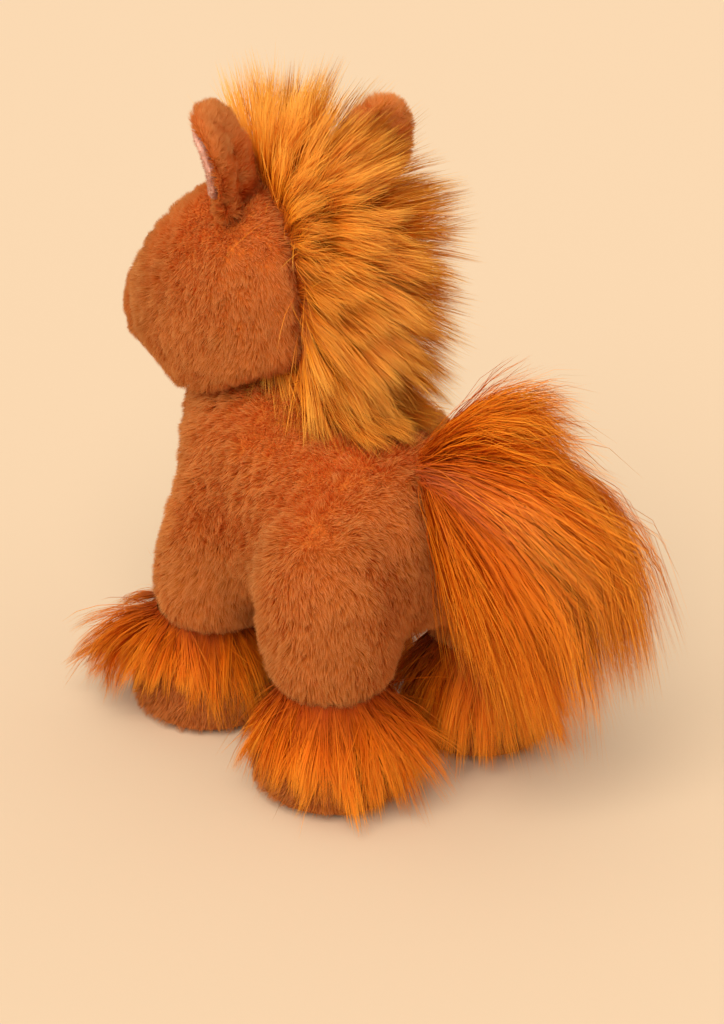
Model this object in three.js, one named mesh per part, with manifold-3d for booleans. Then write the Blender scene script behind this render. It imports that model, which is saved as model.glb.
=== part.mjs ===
// A standing plush horse: sewn plush covers over stuffing, a long-haired mane and tail, and feathered feet.
// Millimetres and degrees, +Z up. The horse faces -Y, and its left side is towards +X.
import * as THREE from "three";
import { mergeVertices } from "three/addons/utils/BufferGeometryUtils.js";
import Module from "manifold-3d";

const wasm = await Module();
wasm.setup();

// Cloth, thread and clearances.
const cloth = 3; // plush backing with its short pile
const fit = 0.3; // between pieces that are sewn or packed against each other
const slip = 1; // between the neck's dome and the head that turns on it
const threadRadius = 1.2;
const stitchRise = 1.2; // how far embroidery stands off the cloth
const overrun = 90; // how far a cutter runs past what it cuts

// Trunk: a stuffed bag whose centre line runs level from the rump, then bends up into the neck.
const rumpReach = 72; // from the middle of the toy back to the rump's end
const barrelHeight = 99; // floor to the centre line
const barrelHalfWidth = 54;
const barrelHalfHeight = 44;
const barrelRun = 60; // how far the rump's direction carries along the centre line
const neckRun = 45; // how far the neck's direction carries down along it
const trunkSquareness = 2.2; // 2 makes the sections oval, and more fills out their corners

// Neck: its round top is a dome that the head's hollow underside sits on.
const neckReach = 38; // from the middle of the toy forward to the dome's centre
const neckHeight = 136; // floor to the dome's centre
const neckLeanAngle = 27; // forward from upright
const neckRadius = 43;
const domeRadius = 40;
const neckMouthRadius = 20; // opening that the stuffing went in through
const headSeamRise = 12.5; // dome's centre to the head's lower edge, along the neck

// Legs, each a short stuffed column that swells into the trunk, and feet of their own cloth.
const frontLegsApart = 74;
const hindLegsApart = 77;
const frontAnkleReach = 41; // forward of the middle
const hindAnkleReach = 47; // behind the middle
const frontLegLeanAngle = 15; // back from upright, going up
const hindLegLeanAngle = -3;
const legRadius = 26;
const legLength = 84;
const legTuck = 4; // how much of a leg's round end is taken up in the ankle seam
const ankleHeight = 47; // floor to the ankle seam
const ankleMouthRadius = 9; // where the leg's stuffing runs on into the foot
const footRadius = 29;
const toeStretchShare = 1.12; // length over width of a foot
const toeForward = 4; // foot's centre ahead of the ankle
const soleRadius = 22;
const featherRadius = 40;
const featherClearance = 5; // floor to the tips of the feather

// Head: a stuffed bag with a drooping nose, and a muzzle of its own cloth.
const headRise = 51; // dome's centre up to the head's centre line
const headBack = 46; // dome's centre back to the head's back end
const headFront = 59; // dome's centre forward to the head's front end
const browForward = 10; // where the centre line bends down
const browRise = 54; // dome's centre up to that bend
const noseDrop = 36;
const headHalfWidth = 51;
const headHalfHeight = 52;
const headSquareness = 2.3;
const muzzleHalfWidth = 33;
const muzzleHalfLength = 31;
const muzzleHalfHeight = 28;
const muzzleBehind = 2; // muzzle's centre behind the front end of the head's centre line
const muzzleLift = 11; // and above it

// Eyes: a domed button on a shank, held by a washer inside the cover.
const eyeRadius = 6.5;
const eyeRise = 4;
const eyeForward = 40; // ahead of the dome's centre
const eyeLevel = 54; // above it
const eyeSpreadAngle = 34; // turn of each eye forward from straight sideways
const shankRadius = 2;
const washerRadius = 5;
const washerThickness = 1.5;
const washerDepth = 2; // washer's face behind the inside of the cover

// Nostrils and mouth, embroidered on the muzzle.
const nostrilRadius = 3.5;
const nostrilSpreadAngle = 24; // turn of each nostril sideways from straight ahead
const nostrilLiftAngle = 14; // turn of each nostril up from straight ahead
const mouthRadius = 12;
const mouthWidth = 1.6;

// Ears: a cupped leaf on a rounded root that the ear folds about.
const skullForward = 5; // dome's centre forward to the middle of the skull
const skullRise = 48; // dome's centre up to the middle of the skull
const earSpreadAngle = 36; // turn of an ear's seat sideways from straight up
const earBackAngle = 19; // turn of an ear's seat back from straight up
const leftEarLeanAngle = 20; // sideways from upright
const rightEarLeanAngle = 4;
const earOpenAngle = 16; // opening turned outwards from straight ahead
const leftEarLayAngle = -4;
const rightEarLayAngle = 34;
const earHalfWidth = 13;
const earHalfThickness = 7;
const earHalfHeight = 22;
const earRootRadius = 4;
const earRootLength = 17;
const earRootDepth = 3.5; // root's middle down to the leaf's foot
const earWall = 2.6; // at the back of the cup
const liningThickness = 2;
const earSweep = 3; // kept clear round the ear where it folds

// Mane: long pile on a strip from the crown to the withers, parted where the head meets the neck.
const maneReach = 63; // middle of the skull to the pile's centre line
const maneHalfWidth = 31;
const maneHalfDepth = 25;
const maneStartAngle = 74; // turn from straight ahead, over the crown
const maneEndAngle = 186;
const maneHem = 14.5; // dome's centre to the head mane's lower edge, along the neck
const maneParting = 14; // between the head's part and the neck's part
const neckManeHalfWidth = 24;
const neckManeHalfDepth = 13;
const neckManeRise = 46; // trunk's centre line out to the pile's centre line
const neckManeTilt = 15; // how much farther out its hind end stands
const neckManeStart = 38; // dome's centre back to the pile, along the trunk's centre line
const neckManeShort = 28; // pile's hind end ahead of that line's hind end

// Tail: a plume of long pile on a bound root that it swings about.
const tailSeatAngle = 42; // turn of the root's seat up from straight back
const tailRootRadius = 6;
const tailReach = 56.5; // plume's centre line behind its root
const tailDrop = 66; // that line's end below its root
const tailLean = 10; // and to the horse's right
const tailHalfWidth = 33;
const tailHalfDepth = 33;

// Colours.
const plush = new THREE.MeshStandardMaterial({ color: "#bf6430", roughness: 0.95, metalness: 0 });
const hoofPlush = new THREE.MeshStandardMaterial({ color: "#9c4c20", roughness: 0.95, metalness: 0 });
const longPile = new THREE.MeshStandardMaterial({ color: "#d9761b", roughness: 0.8, metalness: 0 });
const lining = new THREE.MeshStandardMaterial({ color: "#f0c3a8", roughness: 0.85, metalness: 0 });
const stuffing = new THREE.MeshStandardMaterial({ color: "#f4f1ea", roughness: 1, metalness: 0 });
const thread = new THREE.MeshStandardMaterial({ color: "#6a2c12", roughness: 0.8, metalness: 0 });
const eyeBlack = new THREE.MeshStandardMaterial({ color: "#120d0b", roughness: 0.12, metalness: 0 });
const nylon = new THREE.MeshStandardMaterial({ color: "#e9e6df", roughness: 0.5, metalness: 0 });

const at = (x, y, z) => new THREE.Vector3(x, y, z);
const radians = (degrees) => THREE.MathUtils.degToRad(degrees);
const UP = at(0, 0, 1);
const ACROSS = at(1, 0, 0);

// A direction turned by raise above the floor plane from straight ahead, then by sideways towards the left.
function aim(raise, sideways) {
  const level = Math.cos(radians(raise));
  const turn = radians(sideways);
  return at(level * Math.sin(turn), -level * Math.cos(turn), Math.sin(radians(raise)));
}

// A closed geometry as a solid that can be joined and cut.
function solidOf(geometry) {
  const bare = geometry.index ? geometry.toNonIndexed() : geometry.clone();
  bare.deleteAttribute("normal");
  bare.deleteAttribute("uv");
  const merged = mergeVertices(bare);
  const mesh = new wasm.Mesh({
    numProp: 3,
    vertProperties: merged.attributes.position.array,
    triVerts: new Uint32Array(merged.index.array),
  });
  return new wasm.Manifold(mesh);
}

function geometryOf(solid) {
  const mesh = solid.getMesh();
  const geometry = new THREE.BufferGeometry();
  geometry.setAttribute("position", new THREE.BufferAttribute(new Float32Array(mesh.vertProperties), 3));
  geometry.setIndex(new THREE.BufferAttribute(new Uint32Array(mesh.triVerts), 1));
  const loose = geometry.toNonIndexed();
  loose.computeVertexNormals();
  return loose;
}

const joined = (...solids) => solids.reduce((whole, next) => whole.add(next));
const cutBy = (solid, ...cutters) => cutters.reduce((rest, cutter) => rest.subtract(cutter), solid);

function ball(halfSizes, centre, round = 20) {
  const shape = new THREE.SphereGeometry(1, round, Math.ceil(round / 2));
  shape.rotateX(Math.PI / 2);
  shape.scale(halfSizes.x, halfSizes.y, halfSizes.z);
  return solidOf(shape.translate(centre.x, centre.y, centre.z));
}

const roundBall = (radius, centre, round) => ball(at(radius, radius, radius), centre, round);

// A round bar along a direction, between two distances from point.
function bar(point, along, from, to, radius, round = 16) {
  const shape = new THREE.CylinderGeometry(radius, radius, to - from, round);
  shape.translate(0, (from + to) / 2, 0);
  shape.applyQuaternion(new THREE.Quaternion().setFromUnitVectors(at(0, 1, 0), along.clone().normalize()));
  return solidOf(shape.translate(point.x, point.y, point.z));
}

// A block that holds everything beyond a plane through point.
function beyond(point, along) {
  const block = new THREE.BoxGeometry(4 * overrun, 4 * overrun, 4 * overrun).translate(0, 0, 2 * overrun);
  block.applyQuaternion(new THREE.Quaternion().setFromUnitVectors(UP, along.clone().normalize()));
  return solidOf(block.translate(point.x, point.y, point.z));
}

const above = (solid, height) => solid.subtract(beyond(at(0, 0, height), UP.clone().negate()));
const below = (solid, height) => solid.subtract(beyond(at(0, 0, height), UP));

// A form turned about an upright axis through foot, or one that leans back by lean going up. Shares of radius
// and height give its outline from the foot to the top, which is drawn in by depth, square to itself.
function turned(shares, radius, height, depth, foot, lean, oval, round) {
  const corners = shares.map(([out, up]) => new THREE.Vector2(out * radius, up * height));
  const curve = new THREE.SplineCurve(corners);
  const steps = Math.round(0.6 * round);
  const outline = [];
  for (let i = 0; i <= steps; i++) {
    const along = curve.getTangent(i / steps);
    const point = curve.getPoint(i / steps).add(new THREE.Vector2(-along.y, along.x).multiplyScalar(depth));
    outline.push(new THREE.Vector2(Math.max(0, point.x), point.y));
  }
  outline[0].x = 0;
  outline[steps].x = 0;
  const shape = new THREE.LatheGeometry(outline, round);
  shape.rotateX(Math.PI / 2).scale(1, oval, 1).rotateX(-radians(lean));
  return solidOf(shape.translate(foot.x, foot.y, foot.z));
}

// A stuffed bag along a curve, drawn in by depth all round. Each row of shares holds a place along the curve
// and the half width and half height there.
function bag(curve, shares, halfWidth, halfHeight, depth, round, squareness = 2) {
  const length = curve.getLength();
  const places = [];
  const faces = [];
  for (const [place, wide, high] of shares) {
    const distance = depth + place * (length - 2 * depth);
    const share = THREE.MathUtils.clamp(distance / length, 0, 1);
    const along = curve.getTangentAt(share);
    const centre = curve.getPointAt(share).addScaledVector(along, distance - share * length);
    const top = along.clone().cross(ACROSS);
    for (let i = 0; i < round; i++) {
      const turn = (2 * Math.PI * (i + 0.5)) / round;
      const out = Math.sign(Math.cos(turn)) * Math.abs(Math.cos(turn)) ** (2 / squareness);
      const up = Math.sign(Math.sin(turn)) * Math.abs(Math.sin(turn)) ** (2 / squareness);
      const point = centre.clone().addScaledVector(ACROSS, out * (wide * halfWidth - depth));
      places.push(point.addScaledVector(top, up * (high * halfHeight - depth)));
    }
  }
  const corner = (ring, i) => ring * round + (i % round);
  const last = shares.length - 1;
  for (let i = 1; i + 1 < round; i++) {
    faces.push(corner(0, 0), corner(0, i + 1), corner(0, i));
    faces.push(corner(last, 0), corner(last, i), corner(last, i + 1));
  }
  for (let ring = 0; ring < last; ring++) {
    for (let i = 0; i < round; i++) {
      faces.push(corner(ring, i), corner(ring, i + 1), corner(ring + 1, i + 1));
      faces.push(corner(ring, i), corner(ring + 1, i + 1), corner(ring + 1, i));
    }
  }
  const geometry = new THREE.BufferGeometry().setFromPoints(places);
  geometry.setIndex(faces);
  return solidOf(geometry);
}

// Where a line from inside a solid comes out of it, and which way the solid faces there.
function seatOn(solid, from, along) {
  const skin = new THREE.Mesh(geometryOf(solid), new THREE.MeshBasicMaterial({ side: THREE.DoubleSide }));
  const hits = new THREE.Raycaster(from, along.clone().normalize()).intersectObject(skin);
  const { point, face } = hits[hits.length - 1];
  return { point, outward: face.normal };
}

const horse = new THREE.Group();

function piece(name, solid, material, parent = horse) {
  const mesh = new THREE.Mesh(geometryOf(solid), material);
  mesh.name = name;
  parent.add(mesh);
}

// Neck frame: the dome's centre and the direction in which the neck points.
const neckTop = at(0, -neckReach, neckHeight);
const neckUp = at(0, -Math.sin(radians(neckLeanAngle)), Math.cos(radians(neckLeanAngle)));
const upNeck = (rise) => neckTop.clone().addScaledVector(neckUp, rise);
const overSeam = (solid, rise) => solid.subtract(beyond(upNeck(rise), neckUp.clone().negate()));
const underSeam = (solid, rise) => solid.subtract(beyond(upNeck(rise), neckUp));

// Trunk.
const trunkLine = new THREE.CubicBezierCurve3(
  at(0, rumpReach, barrelHeight),
  at(0, rumpReach - barrelRun, barrelHeight),
  upNeck(-neckRun),
  neckTop,
);
const trunkShares = [
  [0, 0.3, 0.32],
  [0.03, 0.52, 0.54],
  [0.1, 0.76, 0.78],
  [0.22, 0.93, 0.94],
  [0.38, 1, 1],
  [0.56, 1, 1.02],
  [0.74, 1, 1.04],
  [0.88, 0.94, 1.03],
  [1, neckRadius / barrelHalfWidth, neckRadius / barrelHalfHeight],
];

function trunkForm(depth, round = 20) {
  const dome = roundBall(domeRadius - depth, neckTop, round + 4);
  const size = [barrelHalfWidth, barrelHalfHeight];
  return dome.add(bag(trunkLine, trunkShares, ...size, depth, round, trunkSquareness));
}

const trunk = trunkForm(0);
const trunkClear = trunkForm(-fit);
const neckMouth = bar(neckTop, neckUp, 0, overrun, neckMouthRadius);
piece("body_cover", cutBy(trunk, trunkForm(cloth, 14), neckMouth), plush);
piece("body_stuffing", trunkForm(cloth + fit, 14), stuffing);

// Legs and feet.
const frontLegShares = [
  [0, 0],
  [0.6, 0.01],
  [0.92, 0.08],
  [1, 0.22],
  [1, 0.5],
  [0.86, 0.8],
  [0.45, 0.97],
  [0, 1],
];
const hindLegShares = [
  [0, 0],
  [0.6, 0.01],
  [0.92, 0.08],
  [1.05, 0.22],
  [1.2, 0.5],
  [1, 0.8],
  [0.5, 0.97],
  [0, 1],
];
const footShares = [
  [0, -0.2],
  [0.78, -0.16],
  [1, 0.14],
  [0.95, 0.42],
  [0.74, 0.72],
  [0.58, 0.96],
  [0.3, 1.12],
  [0, 1.14],
];
const featherShares = [
  [0, 0],
  [0.85, 0.02],
  [1, 0.14],
  [0.9, 0.42],
  [0.7, 0.76],
  [0.52, 1.02],
  [0.3, 1.12],
  [0, 1.14],
];

function leg(end, side, ankle, lean, shares) {
  const name = end + "_" + side;
  const legFoot = ankle.clone().addScaledVector(UP, -legTuck);
  const legForm = (depth, round) => turned(shares, legRadius, legLength, depth, legFoot, lean, 1, round);
  const toe = at(ankle.x, ankle.y - toeForward, 0);
  const footForm = (depth, round) => {
    return turned(footShares, footRadius, ankleHeight, depth, toe, 0, toeStretchShare, round);
  };
  const footTop = ankleHeight - fit;

  const column = above(legForm(0, 14), ankleHeight);
  const columnHollow = above(legForm(cloth, 10), ankleHeight + cloth);
  const ankleMouth = bar(ankle, UP, -2 * cloth - fit, 2 * cloth, ankleMouthRadius, 10);
  piece("leg_cover_" + name, cutBy(column, columnHollow, trunkClear, ankleMouth), plush);

  const foot = below(above(footForm(0, 14), 0), footTop);
  const footHollow = below(above(footForm(cloth, 10), cloth), footTop - cloth);
  const soleHole = bar(toe, UP, -cloth, 2 * cloth, soleRadius + fit, 14);
  piece("foot_cover_" + name, cutBy(foot, footHollow, soleHole, ankleMouth), hoofPlush);
  piece("sole_" + name, bar(toe, UP, 0, cloth, soleRadius, 14), hoofPlush);

  const legFill = cutBy(above(legForm(cloth + fit, 10), ankleHeight + cloth + fit), trunkClear);
  const footFill = below(above(footForm(cloth + fit, 10), cloth + fit), footTop - cloth - fit);
  const ankleFill = bar(ankle, UP, -3 * cloth, 3 * cloth, ankleMouthRadius - fit, 10);
  piece("leg_stuffing_" + name, joined(legFill, footFill, ankleFill), stuffing);

  const skirt = turned(
    featherShares, featherRadius, ankleHeight - featherClearance, 0,
    at(ankle.x, ankle.y, featherClearance), 0, 1, 14,
  );
  const outward = at(Math.sign(ankle.x), 0, 0);
  const otherSide = beyond(outward.clone().multiplyScalar(fit), outward.clone().negate());
  piece("feather_" + name, cutBy(below(skirt, footTop), footForm(-fit, 14), otherSide), longPile);
}

for (const [side, sign] of [["left", 1], ["right", -1]]) {
  const frontAnkle = at((sign * frontLegsApart) / 2, -frontAnkleReach, ankleHeight);
  const hindAnkle = at((sign * hindLegsApart) / 2, hindAnkleReach, ankleHeight);
  leg("front", side, frontAnkle, frontLegLeanAngle, frontLegShares);
  leg("hind", side, hindAnkle, hindLegLeanAngle, hindLegShares);
}

// Thread of the seam that joins the head to the neck.
const seamRing = new THREE.TorusGeometry(domeRadius + fit + threadRadius, threadRadius, 5, 28);
seamRing.applyQuaternion(new THREE.Quaternion().setFromUnitVectors(UP, neckUp));
const seamPlace = upNeck(threadRadius + fit);
seamRing.translate(seamPlace.x, seamPlace.y, seamPlace.z);
piece("neck_seam_thread", solidOf(seamRing), thread);

// Head and muzzle.
const headLine = new THREE.QuadraticBezierCurve3(
  neckTop.clone().add(at(0, headBack, headRise)),
  neckTop.clone().add(at(0, -browForward, browRise)),
  neckTop.clone().add(at(0, -headFront, headRise - noseDrop)),
);
const headShares = [
  [0, 0.22, 0.24],
  [0.03, 0.44, 0.46],
  [0.1, 0.69, 0.7],
  [0.24, 0.92, 0.92],
  [0.42, 1, 1],
  [0.6, 0.99, 0.89],
  [0.77, 0.9, 0.73],
  [0.9, 0.72, 0.58],
  [0.97, 0.5, 0.44],
  [1, 0.28, 0.26],
];
const headForm = (depth, round) => {
  return bag(headLine, headShares, headHalfWidth, headHalfHeight, depth, round, headSquareness);
};
const muzzleCentre = headLine.getPoint(1).add(at(0, muzzleBehind, muzzleLift));
const muzzleForm = (depth, round) => {
  const halfSizes = at(muzzleHalfWidth, muzzleHalfLength, muzzleHalfHeight).subScalar(depth);
  return ball(halfSizes, muzzleCentre, round);
};

const head = overSeam(headForm(0, 20), headSeamRise);
const headClear = headForm(-fit, 20);
const headInside = headForm(cloth, 14);
const headHollow = overSeam(headInside, headSeamRise + cloth);
const domeSocket = roundBall(domeRadius + slip, neckTop, 24);
const skullCentre = neckTop.clone().add(at(0, -skullForward, skullRise));

// An eye's seat is where a line from the head's middle comes out through its cover, square to the inside.
const eyeHeart = neckTop.clone().add(at(0, -eyeForward, eyeLevel));
const eyes = [["left", 1], ["right", -1]].map(([side, sign]) => {
  const gaze = aim(0, sign * (90 - eyeSpreadAngle));
  const { point, outward } = seatOn(headInside, eyeHeart, gaze);
  return { side, outward, seat: point.addScaledVector(outward, cloth) };
});
const washerFace = -cloth - washerDepth;
const shankEnd = washerFace - washerThickness;
const eyeHoles = eyes.map(({ seat, outward }) => {
  return bar(seat, outward, shankEnd - fit, cloth, shankRadius + fit, 10);
});
const washerPockets = eyes.map(({ seat, outward }) => {
  return bar(seat, outward, shankEnd - fit, 0, washerRadius + fit, 14);
});

piece("head_cover", cutBy(head, headHollow, domeSocket, muzzleForm(cloth, 12), ...eyeHoles), plush);
const skullFill = overSeam(headForm(cloth + fit, 14), headSeamRise + cloth + fit);
const headFill = joined(skullFill, muzzleForm(cloth + fit, 12));
piece("head_stuffing", cutBy(headFill, domeSocket, ...washerPockets, ...eyeHoles), stuffing);
piece("muzzle_cover", cutBy(muzzleForm(0, 16), muzzleForm(cloth, 12), headClear), plush);

for (const { side, outward, seat } of eyes) {
  const dome = geometryOf(ball(at(eyeRadius, eyeRadius, eyeRise), at(0, 0, 0), 16));
  dome.applyQuaternion(new THREE.Quaternion().setFromUnitVectors(UP, outward));
  const button = cutBy(solidOf(dome.translate(seat.x, seat.y, seat.z)), headClear);
  const shank = bar(seat, outward, shankEnd, eyeRise / 2, shankRadius, 10);
  piece("eye_" + side, joined(button, shank), eyeBlack);
  const washer = bar(seat, outward, shankEnd, washerFace, washerRadius, 14);
  piece("eye_washer_" + side, cutBy(washer, bar(seat, outward, -overrun, 0, shankRadius + fit, 10)), nylon);
}

// Embroidery lies on the muzzle as a thin skin of thread.
const stitched = (shape) => cutBy(muzzleForm(-fit - stitchRise, 16).intersect(shape), muzzleForm(-fit, 16));
for (const [side, sign] of [["left", 1], ["right", -1]]) {
  const outward = aim(nostrilLiftAngle, sign * nostrilSpreadAngle);
  const seat = seatOn(muzzleForm(0, 16), muzzleCentre, outward);
  piece("nostril_" + side, stitched(roundBall(nostrilRadius, seat.point, 8)), thread);
}
const ahead = at(0, -1, 0);
const mouthRing = cutBy(
  bar(muzzleCentre, ahead, 0, overrun, mouthRadius + mouthWidth / 2, 18),
  bar(muzzleCentre, ahead, -cloth, 2 * overrun, mouthRadius - mouthWidth / 2, 18),
);
piece("mouth_stitch", stitched(below(mouthRing, muzzleCentre.z - mouthWidth)), thread);

// Ears. Each is made upright with its root at the origin, and its group places it on the head.
const earSweeps = [];
const earPoses = [
  ["left", 1, leftEarLeanAngle, leftEarLayAngle],
  ["right", -1, rightEarLeanAngle, rightEarLayAngle],
];
for (const [side, sign, lean, laidBack] of earPoses) {
  const spread = radians(earSpreadAngle);
  const up = at(sign * Math.sin(spread), Math.sin(radians(earBackAngle)), Math.cos(spread));
  const { point, outward } = seatOn(head, skullCentre, up);
  const turn = sign * radians(earOpenAngle);
  const back = outward.clone().cross(at(Math.cos(turn), Math.sin(turn), 0)).normalize();
  const fold = new THREE.Group();
  fold.name = "ear_fold_" + side;
  fold.position.copy(point).addScaledVector(outward, earRootRadius + fit);
  fold.setRotationFromMatrix(new THREE.Matrix4().makeBasis(back.clone().cross(outward), back, outward));
  horse.add(fold);

  // The leaf stands as its own lean and lay tell, whatever the slope of its seat.
  const stance = new THREE.Euler(-radians(laidBack), sign * radians(lean), turn, "ZYX");
  const stood = new THREE.Quaternion().setFromEuler(stance).premultiply(fold.quaternion.clone().invert());
  const posed = (solid) => solid.transform(new THREE.Matrix4().makeRotationFromQuaternion(stood).elements);
  const leafCentre = at(0, 0, earHalfHeight - earRootDepth);
  const leaf = ball(at(earHalfWidth, earHalfThickness, earHalfHeight), leafCentre, 12);
  const rootForm = (margin) => {
    const reach = earRootLength / 2 + margin;
    return bar(at(0, 0, 0), ACROSS, -reach, reach, earRootRadius + margin, 8);
  };
  const cupCentre = leafCentre.clone().add(at(0, -earHalfThickness, 0));
  const cupForm = (depth) => {
    const halfSizes = at(earHalfWidth - earWall, 2 * earHalfThickness - earWall, earHalfHeight - earWall);
    return ball(halfSizes.subScalar(depth), cupCentre, 12);
  };
  const cover = joined(posed(cutBy(leaf, cupForm(0))), rootForm(0));
  piece("ear_cover_" + side, cover, plush, fold);
  const cupped = cutBy(leaf.intersect(cupForm(fit)), cupForm(fit + liningThickness));
  piece("ear_lining_" + side, cutBy(posed(cupped), rootForm(fit)), lining, fold);

  const hinge = ACROSS.clone().applyQuaternion(fold.quaternion);
  const { min, max } = cover.boundingBox();
  const sweepRadius = 2 * earHalfHeight - earRootDepth + earSweep;
  const round = bar(fold.position, hinge, min[0] - earSweep, max[0] + earSweep, sweepRadius, 16);
  earSweeps.push(cutBy(round, beyond(point, outward.clone().negate())));
}

// Mane.
const maneShares = [
  [0, 0.2, 0.4],
  [0.06, 0.36, 0.66],
  [0.18, 0.5, 0.88],
  [0.36, 0.62, 1],
  [0.6, 0.84, 1.04],
  [0.8, 1, 0.98],
  [0.94, 0.76, 0.78],
  [1, 0.45, 0.5],
];
const manePoints = [];
for (let i = 0; i <= 6; i++) {
  const turn = THREE.MathUtils.lerp(maneStartAngle, maneEndAngle, i / 6);
  manePoints.push(skullCentre.clone().addScaledVector(aim(turn, 0), maneReach));
}
const maneLine = new THREE.CatmullRomCurve3(manePoints);
const headMane = bag(maneLine, maneShares, maneHalfWidth, maneHalfDepth, 0, 14);
piece("mane_head", cutBy(overSeam(headMane, maneHem), headClear, ...earSweeps), longPile);

const neckManeShares = [
  [0, 0.6, 0.6],
  [0.12, 0.9, 0.9],
  [0.4, 1, 1],
  [0.7, 0.92, 0.9],
  [0.92, 0.6, 0.6],
  [1, 0.3, 0.3],
];
const neckManePoints = [];
const trunkLength = trunkLine.getLength();
for (let i = 0; i <= 4; i++) {
  const place = THREE.MathUtils.lerp(trunkLength - neckManeStart, neckManeShort, i / 4) / trunkLength;
  const out = trunkLine.getTangentAt(place).cross(ACROSS);
  const rise = THREE.MathUtils.lerp(neckManeRise, neckManeRise + neckManeTilt, i / 4);
  neckManePoints.push(trunkLine.getPointAt(place).addScaledVector(out, rise));
}
const neckManeLine = new THREE.CatmullRomCurve3(neckManePoints);
const neckMane = bag(neckManeLine, neckManeShares, neckManeHalfWidth, neckManeHalfDepth, 0, 12);
piece("mane_neck", cutBy(underSeam(neckMane, maneHem - maneParting), trunkClear), longPile);

// Tail. Its group sits at the middle of the root, about which it swings and lifts.
const tailOut = aim(180 - tailSeatAngle, 0);
const tailSeat = seatOn(trunk, at(0, rumpReach - barrelHalfHeight, barrelHeight), tailOut);
const tail = new THREE.Group();
tail.name = "tail_swing";
tail.position.copy(tailSeat.point).addScaledVector(tailOut, tailRootRadius + fit);
horse.add(tail);
piece("tail_root", roundBall(tailRootRadius, at(0, 0, 0), 14), thread, tail);
const tailBendShares = [[0.05, 0.33, 0], [0.35, 0.62, -0.27], [0.7, 0.86, -0.6], [1, 1, -1]];
const tailBends = tailBendShares.map(([aside, back, up]) => {
  return at(-aside * tailLean, back * tailReach, up * tailDrop);
});
const tailLine = new THREE.CatmullRomCurve3([tailOut.clone().multiplyScalar(tailRootRadius), ...tailBends]);
const tailShares = [
  [0, 0.14, 0.18],
  [0.08, 0.3, 0.32],
  [0.2, 0.46, 0.5],
  [0.36, 0.68, 0.76],
  [0.55, 0.9, 0.96],
  [0.75, 1, 1],
  [0.9, 0.9, 0.84],
  [1, 0.6, 0.5],
];
const plume = bag(tailLine, tailShares, tailHalfWidth, tailHalfDepth, 0, 16);
const rump = trunkClear.translate(tail.position.clone().negate().toArray());
piece("tail_pile", cutBy(plume, roundBall(tailRootRadius + fit, at(0, 0, 0), 14), rump), longPile, tail);

// The origin is under the middle of the whole toy, on the floor.
horse.updateMatrixWorld(true);
const box = new THREE.Box3().setFromObject(horse, true);
const middle = box.getCenter(at(0, 0, 0));
horse.position.set(-middle.x, -middle.y, -box.min.z);

export default horse;
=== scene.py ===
import math

import bmesh
import bpy
import numpy as np
from mathutils import Matrix, Vector
from mathutils.bvhtree import BVHTree
from mathutils.kdtree import KDTree


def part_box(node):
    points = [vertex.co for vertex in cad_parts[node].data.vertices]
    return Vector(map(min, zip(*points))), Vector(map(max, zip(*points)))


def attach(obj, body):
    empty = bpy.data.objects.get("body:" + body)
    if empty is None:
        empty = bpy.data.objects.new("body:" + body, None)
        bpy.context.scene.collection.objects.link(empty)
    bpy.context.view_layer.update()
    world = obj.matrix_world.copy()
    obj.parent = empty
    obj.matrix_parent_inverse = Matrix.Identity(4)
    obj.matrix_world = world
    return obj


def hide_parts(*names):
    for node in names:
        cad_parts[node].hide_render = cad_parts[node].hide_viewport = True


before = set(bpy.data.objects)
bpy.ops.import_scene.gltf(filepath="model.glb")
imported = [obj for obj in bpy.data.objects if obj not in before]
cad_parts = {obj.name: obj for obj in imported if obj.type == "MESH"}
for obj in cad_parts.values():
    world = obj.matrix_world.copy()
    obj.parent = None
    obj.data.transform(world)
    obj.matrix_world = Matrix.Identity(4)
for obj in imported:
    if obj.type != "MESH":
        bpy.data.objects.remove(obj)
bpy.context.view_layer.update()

# Camera. It stands behind the horse on its left, a metre away and a little above it,
# and frames it as an upright product picture.
PICTURE_WIDE, PICTURE_HIGH = 724, 1024
HORSE_MIDDLE = Vector((0, 0, 0.140))
MIDDLE_ACROSS_PX, MIDDLE_DOWN_PX = 354, 416
VIEW_ROUND, VIEW_ABOVE = math.radians(142), math.radians(21)
VIEW_AWAY = 1.0
PIXELS_PER_METRE = 2500
SENSOR_MM = 36


def placed(name, data):
    """An object in the scene, at its middle."""
    thing = bpy.data.objects.new(name, data)
    bpy.context.scene.collection.objects.link(thing)
    return thing


towards_camera = Vector((
    math.sin(VIEW_ROUND) * math.cos(VIEW_ABOVE),
    -math.cos(VIEW_ROUND) * math.cos(VIEW_ABOVE),
    math.sin(VIEW_ABOVE),
))
lens = bpy.data.cameras.new("camera")
lens.sensor_width = SENSOR_MM
lens.lens = PIXELS_PER_METRE * VIEW_AWAY * SENSOR_MM / PICTURE_HIGH
lens.shift_x = (PICTURE_WIDE / 2 - MIDDLE_ACROSS_PX) / PICTURE_HIGH
lens.shift_y = (MIDDLE_DOWN_PX - PICTURE_HIGH / 2) / PICTURE_HIGH
lens.clip_start, lens.clip_end = 0.05, 30
camera = placed("camera", lens)
camera.location = HORSE_MIDDLE + towards_camera * VIEW_AWAY
camera.rotation_euler = towards_camera.to_track_quat("Z", "Y").to_euler()
bpy.context.scene.camera = camera

# Light. One broad lamp stands high behind the camera, a little to its left, and the pale room fills
# the rest, so that a colour shows about as it is written.
KEY_STRENGTH, KEY_SOFT, KEY_COLOUR = 2.82, math.radians(50), (1, 0.965, 0.91)
KEY_FROM = Vector((0.85, 0.62, 1.15))
FILL_STRENGTH, FILL_COLOUR = 0.80, (1, 0.97, 0.93, 1)
ROOM_COLOUR = (0.958, 0.697, 0.448, 1)

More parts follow.
